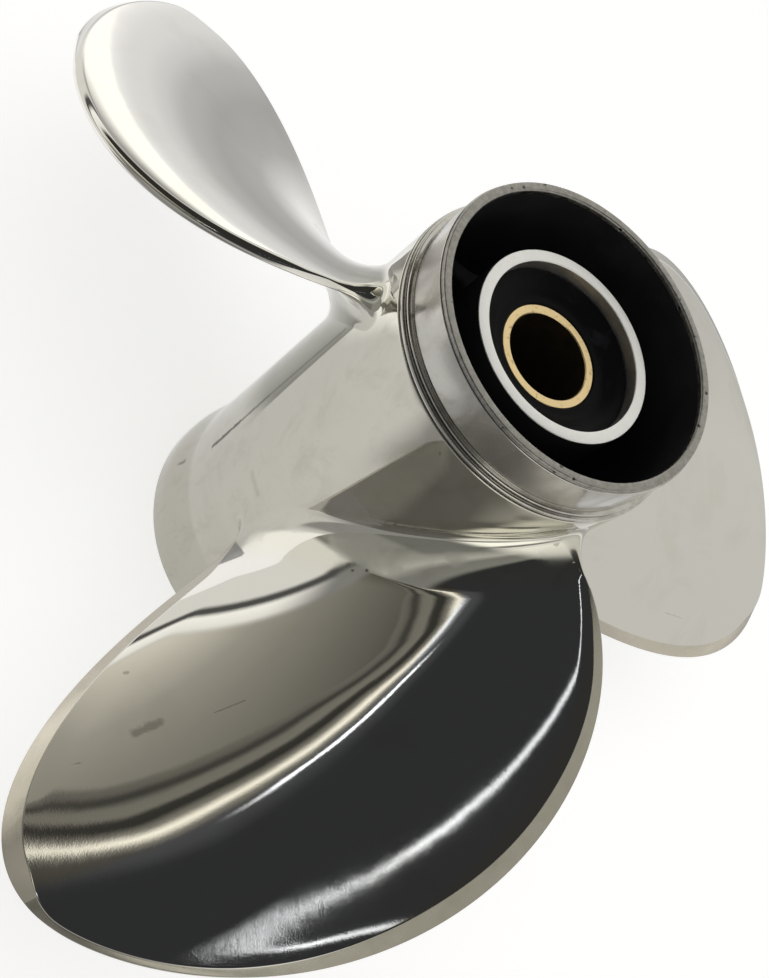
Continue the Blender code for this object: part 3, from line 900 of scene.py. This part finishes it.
def collar_profile():
    """Two beads, a groove, the turned band and the bare rim, as corners (radius, height, rounding)."""
    corners = (
        (HUB_BORE, BARREL_TOP, 0),
        (0.0318, BARREL_TOP, 0),
        (0.0318, 0.10245, 0),
        (0.0321, 0.10245, 0.0003),
        (0.0321, 0.10335, 0.0004),
        (0.0311, 0.10340, 0.0001),
        (0.0311, 0.10355, 0),
        (0.0315, 0.10360, 0.0003),
        (0.0315, 0.10420, 0.0003),
        (0.03045, 0.10425, 0.0001),
        (0.03045, COLLAR_FOOT, 0.0001),
        (COLLAR_RADIUS, COLLAR_FOOT + 0.0003, 0.0002),
        (COLLAR_RADIUS, RIM_STEP_FOOT, 0.00015),
        (COLLAR_RADIUS - RIM_STEP, RIM_STEP_FOOT + 0.0001, 0.00008),
        (COLLAR_RADIUS - RIM_STEP, HUB_LENGTH, 0.0003),
        (HUB_BORE, HUB_LENGTH, 0.0005),
        (HUB_BORE, HUB_LENGTH - BARE_LIP, 0),
    )
    return split_long(rounded(corners))


def is_collar_coating(radius, height):
    return int(radius < HUB_BORE + NEARLY / 10 and height < HUB_LENGTH - BARE_LIP)


def is_shell_coating(radius, height):
    return int(radius < FLARE_BORE + NEARLY and height > 2 * NEARLY)


def collar_faces(radius, height):
    """0 is turned steel, 1 the black coating and 2 the bare rim."""
    on_rim = height > RIM_STEP_FOOT + NEARLY
    on_lip = radius < HUB_BORE + NEARLY and height > HUB_LENGTH - BARE_LIP
    return 2 if on_rim or on_lip else is_collar_coating(radius, height)


def tube_profile():
    corners = (
        (TUBE_INNER, TUBE_FOOT, 0.0003),
        (TUBE_OUTER, TUBE_FOOT, 0.0003),
        (TUBE_OUTER, TUBE_TOP, 0.00018),
        (TUBE_INNER, TUBE_TOP, 0.00022),
    )
    return split_long(rounded(corners))


def is_tube_coating(radius, height):
    return int(radius > TUBE_OUTER - NEARLY and height < TUBE_TOP - 2.5 * NEARLY)


def bush_profile():
    """The bush is dished in front, down from the tube to the sleeve."""
    corners = (
        (SLEEVE_OUTER, BUSH_FOOT, 0.0005),
        (TUBE_INNER, BUSH_FOOT, 0.0005),
        (TUBE_INNER, BUSH_TOP, 0.0005),
        (0.0152, BUSH_TOP - 0.0004, 0.0008),
        (0.0125, BUSH_TOP - BUSH_DISH, 0.0010),
        (SLEEVE_OUTER, BUSH_TOP - BUSH_DISH, 0.0003),
    )
    return split_long(rounded(corners))


def sleeve_mesh():
    """Plain outside and front bore, with splines aft of the bore's step."""
    tooth = [(share / 14, SPLINE_DEPTH) for share in range(5)] + [(0.36, SPLINE_DEPTH * 0.8)]
    tooth += [(0.44 + share * 0.46 / 6, 0.0) for share in range(7)] + [(0.98, SPLINE_DEPTH * 0.8)]
    angles = [(2 * pi * (n + share) / SPLINES, depth) for n in range(SPLINES) for share, depth in tooth]
    chamfer = SLEEVE_CHAMFER
    sleeve = bmesh.new()
    rows = []
    for height in (SLEEVE_FOOT, SPLINE_TOP):
        rows.append([(SLEEVE_BORE - depth, angle, height) for angle, depth in angles])
    for radius, height in (
        (SLEEVE_BORE, SPLINE_TOP + SPLINE_DEPTH),
        (SLEEVE_BORE, SLEEVE_TOP - chamfer),
        (SLEEVE_BORE + chamfer, SLEEVE_TOP),
        (SLEEVE_OUTER - chamfer, SLEEVE_TOP),
        (SLEEVE_OUTER, SLEEVE_TOP - chamfer),
        (SLEEVE_OUTER, SLEEVE_FOOT + chamfer),
        (SLEEVE_OUTER - chamfer, SLEEVE_FOOT),
    ):
        rows.append([(radius, angle, height) for angle, _ in angles])
    loops = [[sleeve.verts.new((r * cos(a), r * sin(a), z)) for r, a, z in row] for row in rows]
    for i, loop in enumerate(loops):
        following = loops[(i + 1) % len(loops)]
        for j in range(len(loop)):
            k = (j + 1) % len(loop)
            face = sleeve.faces.new((loop[j], loop[k], following[k], following[j]))
            face.material_index = int(max(v.co.xy.length for v in face.verts) < SLEEVE_BORE + MM / 100)
    return sleeve


def rib_mesh(turn, stations=28):
    """A web from tube to barrel with cast fillets on both, and a rounded, sloping front edge."""
    rib = bmesh.new()
    start, end = TUBE_OUTER - RIB_INTO_TUBE, HUB_BORE + RIB_INTO_BARREL
    loops = []
    for station in range(stations + 1):
        share = station / stations
        radius = start + (end - start) * share
        half = RIB_THICKNESS / 2
        for wall in (radius - TUBE_OUTER, HUB_BORE - radius):
            rise = min(max(RIB_FILLET - wall, 0.0), RIB_FILLET)
            half += RIB_FILLET - sqrt(RIB_FILLET**2 - rise**2)
        top = RIB_TOP - RIB_SLOPE * min(max((radius - TUBE_OUTER) / (HUB_BORE - TUBE_OUTER), 0.0), 1.0)
        corners = (
            (-half, RIB_FOOT, RIB_FOOT_ROUND),
            (-half, top, RIB_TOP_ROUND),
            (half, top, RIB_TOP_ROUND),
            (half, RIB_FOOT, RIB_FOOT_ROUND),
        )
        loop = []
        for across, height in rounded(corners):
            x = sqrt(max(radius**2 - across**2, 0.0))
            spot = (x * cos(turn) - across * sin(turn), x * sin(turn) + across * cos(turn), height)
            loop.append(rib.verts.new(spot))
        loops.append(loop)
    for inner, outer in zip(loops, loops[1:]):
        for i in range(len(inner)):
            j = (i + 1) % len(inner)
            rib.faces.new((inner[i], inner[j], outer[j], outer[i]))
    rib.faces.new(loops[0])
    rib.faces.new(loops[-1])
    return rib


def add_piece(name, mesh_data, materials, slot, *nodes):
    """One visible piece, and the frame's nodes that it replaces. The slot argument is not used."""
    obj = make_object(name, mesh_data, materials)
    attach(obj, "root")
    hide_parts(*nodes)


def make_blades(materials):
    for number, finish in enumerate(FINISHES):
        shape = blade_mesh(finish)
        shape.transform(Matrix.Rotation(2 * pi * number / BLADES, 4, "Z"))
        add_piece(f"blade_skin_{number + 1}", shape, materials, "polished_steel", f"blade_{number + 1}")


def make_hub(polished, turned_metal, rim, coating):
    shell = turned(shell_profile(), is_shell_coating)
    add_piece("hub_shell", shell, (polished, coating), "polished_steel", "hub_barrel", "diffuser_ring")
    collar = turned(collar_profile(), collar_faces)
    add_piece("collar_shell", collar, (turned_metal, coating, rim), "turned_steel", "front_collar")


def make_core(machined, coating, rubber_material, brasses):
    tube = turned(tube_profile(), is_tube_coating)
    add_piece("tube_shell", tube, (machined, coating), "coated_steel", "inner_tube")
    add_piece("bush_body", turned(bush_profile()), (rubber_material,), "rubber", "rubber_bush")
    add_piece("sleeve_body", sleeve_mesh(), brasses, "brass", "spline_sleeve")
    chord_middle = bezier(SPINE, 0)[0] * cos(atan2(PITCH, 2 * pi * ROOT_RADIUS)) / ROOT_RADIUS
    for number in range(BLADES):
        rib = rib_mesh(chord_middle + 2 * pi * number / BLADES)
        add_piece(f"rib_web_{number + 1}", rib, (coating,), "coated_steel", f"rib_{number + 1}")


def make_camera():
    data = bpy.data.cameras.new("camera")
    data.lens = CAMERA_LENS
    data.clip_start = CAMERA_CLIP
    camera = bpy.data.objects.new("camera", data)
    bpy.context.scene.collection.objects.link(camera)
    look = (CAMERA_TARGET - CAMERA_PLACE).to_track_quat("-Z", "Y")
    camera.matrix_world = (
        Matrix.Translation(CAMERA_PLACE) @ look.to_matrix().to_4x4() @ Matrix.Rotation(CAMERA_ROLL, 4, "Z")
    )
    bpy.context.scene.camera = camera


def heading(angle):
    """The level direction at this angle, in degrees."""
    return (cos(radians(angle)), sin(radians(angle)), 0.0)


def ramp(nodes, value, span, stops):
    """Brightness by a value from 0 to the span, with straight lines between the stops."""
    node = nodes.add("ValToRGB")
    nodes.feed(node.inputs[0], nodes.math("DIVIDE", value, span))
    elements = node.color_ramp.elements
    while len(elements) < len(stops):
        elements.new(0.5)
    for element, (place, level) in zip(elements, stops):
        element.position = place / span
        element.color = (level / RAMP_PEAK, level / RAMP_PEAK, level / RAMP_PEAK, 1)
    return nodes.times(node.outputs[0], RAMP_PEAK)


def blend(nodes, share, first, second):
    first = nodes.times(first, nodes.minus(1.0, share))
    return nodes.plus(first, nodes.times(second, share))


def panel_light(nodes, direction):
    """The long pale panel, brighter towards its far end."""
    ahead = nodes.vector("DOT_PRODUCT", direction, heading(PANEL_HEADING))
    aside = nodes.vector("DOT_PRODUCT", direction, heading(PANEL_HEADING - 90))
    bearing = nodes.times(nodes.math("ARCTAN2", aside, ahead), 180 / pi)
    return ramp(nodes, bearing, PANEL_SPAN, PANEL)


def place_on_frame(nodes, direction, across, along):
    """The place across the striped frame, which bends at its ends, bulges between them and wanders."""
    far_bend = nodes.math("MAXIMUM", nodes.minus(along, FAR_BEND_START), 0.0)
    far_bend = nodes.times(nodes.math("POWER", far_bend, 2.0), FAR_BEND)
    near_bend = nodes.math("MAXIMUM", nodes.minus(NEAR_BEND_START, along), 0.0)
    near_bend = nodes.times(near_bend, NEAR_BEND)
    bulge = nodes.spread(along, *BULGE_END, BULGE, 0.0)
    bulge = nodes.times(bulge, nodes.spread(along, *BULGE_START))
    wiggle = nodes.minus(nodes.noise(direction, *WIGGLE_NOISE), 0.5)
    wiggle = nodes.times(wiggle, nodes.spread(along, *WIGGLE_STRETCH, *WIGGLE))
    place = nodes.plus(nodes.plus(across, far_bend), near_bend)
    return nodes.plus(place, nodes.plus(bulge, wiggle))


def slot_light(nodes, place, along):
    """The thin lit slot beside the frame."""
    first_end, second_end = SLOT_ENDS
    slot = nodes.math("ABSOLUTE", nodes.minus(place, SLOT_PLACE))
    slot = nodes.spread(slot, *SLOT_HALF_WIDTH, SLOT_LEVEL, 0.0)
    slot = nodes.times(slot, nodes.spread(along, *first_end))
    return nodes.times(slot, nodes.spread(along, *second_end, 1.0, 0.0))


def lamp_light(nodes, across, along):
    """The long lamp, a bent line on the ceiling."""
    slope = nodes.plus(nodes.times(across, LAMP_BEND), LAMP_SLOPE)
    middle = nodes.plus(nodes.times(across, slope), LAMP_OFFSET)
    away = nodes.math("ABSOLUTE", nodes.minus(along, middle))
    away = nodes.math("DIVIDE", away, nodes.spread(across, *LAMP_GROWTH, *LAMP_HALF_WIDTH))
    light = nodes.spread(away, *LAMP_SOFTNESS, 1.0, 0.0)
    light = nodes.times(light, nodes.spread(across, *LAMP_START))
    return nodes.times(light, nodes.spread(across, *LAMP_GROWTH, *LAMP_LEVEL))


def front_ceiling(nodes, direction, across, along):
    """A long pale panel in a striped frame, with a long lamp beside it on a dark ceiling."""
    place = place_on_frame(nodes, direction, across, along)
    frame_light = ramp(nodes, nodes.minus(place, FRAME_START), FRAME_SPAN, FRAME)
    on_frame = nodes.spread(place, FRAME_START, FRAME_START + FRAME_EDGE)
    light = blend(nodes, on_frame, panel_light(nodes, direction), frame_light)
    light = nodes.plus(light, slot_light(nodes, place, along))
    return nodes.plus(light, lamp_light(nodes, across, along))


def towards(nodes, level, angle, edge):
    """From 0 to 1 as a level direction comes nearer to this heading."""
    return nodes.spread(nodes.vector("DOT_PRODUCT", level, heading(angle)), *edge)


def two_walls(nodes, elevation, share, first, second):
    """The brightness by elevation where one wall turns into another."""
    return blend(nodes, share, ramp(nodes, elevation, ZENITH, first), ramp(nodes, elevation, ZENITH, second))


def wall_light(nodes, level, elevation, front, near):
    """The walls all round, each with a part of its own to one side."""
    side = towards(nodes, level, SIDE_HEADING, SIDE_EDGE)
    left = towards(nodes, level, LEFT_HEADING, LEFT_EDGE)
    near_left = towards(nodes, level, NEAR_LEFT_HEADING, NEAR_LEFT_EDGE)
    back_wall = two_walls(nodes, elevation, side, BACK_WALL, SIDE_WALL)
    front_wall = two_walls(nodes, elevation, left, DIM_FRONT_WALL, FRONT_WALL)
    near_wall = two_walls(nodes, elevation, near_left, NEAR_WALL, NEAR_LEFT_WALL)
    return blend(nodes, front, back_wall, blend(nodes, near, front_wall, near_wall))


def key_light(nodes, across, along):
    """The round soft light on the ceiling behind."""
    across_key = nodes.math("POWER", nodes.minus(across, KEY_PLACE[0]), 2.0)
    along_key = nodes.math("POWER", nodes.minus(along, KEY_PLACE[1]), 2.0)
    to_key = nodes.math("SQRT", nodes.plus(across_key, along_key))
    return nodes.spread(to_key, *KEY_REACH, KEY_LEVEL, CEILING_LEVEL)


def room(nodes, direction):
    """Brightness and tint of the mirrored room: walls by elevation, and a ceiling seen as a flat plane."""
    split = nodes.add("SeparateXYZ")
    nodes.feed(split.inputs[0], direction)
    elevation = nodes.times(nodes.math("ARCSINE", split.outputs["Z"]), 180 / pi)
    level = nodes.vector("NORMALIZE", nodes.vector("MULTIPLY", direction, (1, 1, 0)))
    front = towards(nodes, level, FRONT_HEADING, FRONT_EDGE)
    near = towards(nodes, level, NEAR_HEADING, NEAR_EDGE)
    walls = wall_light(nodes, level, elevation, front, near)

    steep = nodes.math("MAXIMUM", split.outputs["Z"], LEAST_RISE)
    across = nodes.math("DIVIDE", split.outputs["X"], steep)
    along = nodes.math("DIVIDE", split.outputs["Y"], steep)
    over_front = front_ceiling(nodes, direction, across, along)
    ceiling = blend(nodes, front, key_light(nodes, across, along), over_front)
    near_start = nodes.times(near, CEILING_START["near"])
    front_start = nodes.plus(near_start, CEILING_START["front"])
    start = blend(nodes, front, CEILING_START["back"], front_start)
    above = nodes.spread(nodes.minus(elevation, start), 0.0, CEILING_BLEND)
    on_ceiling = nodes.times(above, front)
    ceiling_tint = nodes.mix(nodes.spread(across, *TINT_EDGE), WARM_LIGHT, COOL_LIGHT)
    return blend(nodes, above, walls, ceiling), nodes.mix(on_ceiling, WALL_LIGHT, ceiling_tint)


def make_world():
    """The steel mirrors a room. The camera sees a plain backdrop, and dull surfaces get an even light."""
    world = bpy.data.worlds.new("studio")
    world.use_nodes = True
    nodes = Nodes(world.node_tree)
    direction = nodes.add("TexCoord").outputs["Generated"]
    light, tint = room(nodes, direction)
    path = nodes.add("LightPath")
    mirrored = path.outputs["Is Glossy Ray"]
    seen = path.outputs["Is Camera Ray"]
    plain = blend(nodes, seen, FILL, BACKDROP)
    background = world.node_tree.nodes["Background"]
    nodes.feed(background.inputs["Color"], nodes.mix(mirrored, (1, 1, 1, 1), tint))
    nodes.feed(background.inputs["Strength"], blend(nodes, mirrored, plain, light))
    bpy.context.scene.world = world


def make_overhead_light():
    """A large soft box over the table. It isn't mirrored, so the steel shows only the room."""
    data = bpy.data.lights.new("overhead", "AREA")
    data.shape = "DISK"
    data.size = OVERHEAD_SIZE
    data.energy = OVERHEAD_POWER
    light = bpy.data.objects.new("overhead", data)
    light.location = (0, 0, OVERHEAD_HEIGHT)
    light.visible_glossy = False
    bpy.context.scene.collection.objects.link(light)


def make_table():
    top = bmesh.new()
    place = Matrix.Translation(TABLE_PLACE)
    bmesh.ops.create_circle(top, cap_ends=True, segments=TABLE_STEPS, radius=TABLE_RADIUS, matrix=place)
    make_object("table_top", top, (table_paper(),))


bpy.context.scene.view_settings.view_transform = "Standard"
make_camera()
make_world()
make_overhead_light()
make_table()

steel = polished_steel()
black = exhaust_coating()
# The leading land's material is the ground steel with painted shade.
make_blades((steel, ground_steel("trailing_land", PALE_GROUND), ground_steel("leading_land_shaded", SHADED_GROUND)))
make_hub(steel, turned_steel(), rim_steel(), black)
make_core(machined_steel(), black, rubber(), (brass(), dull_brass()))
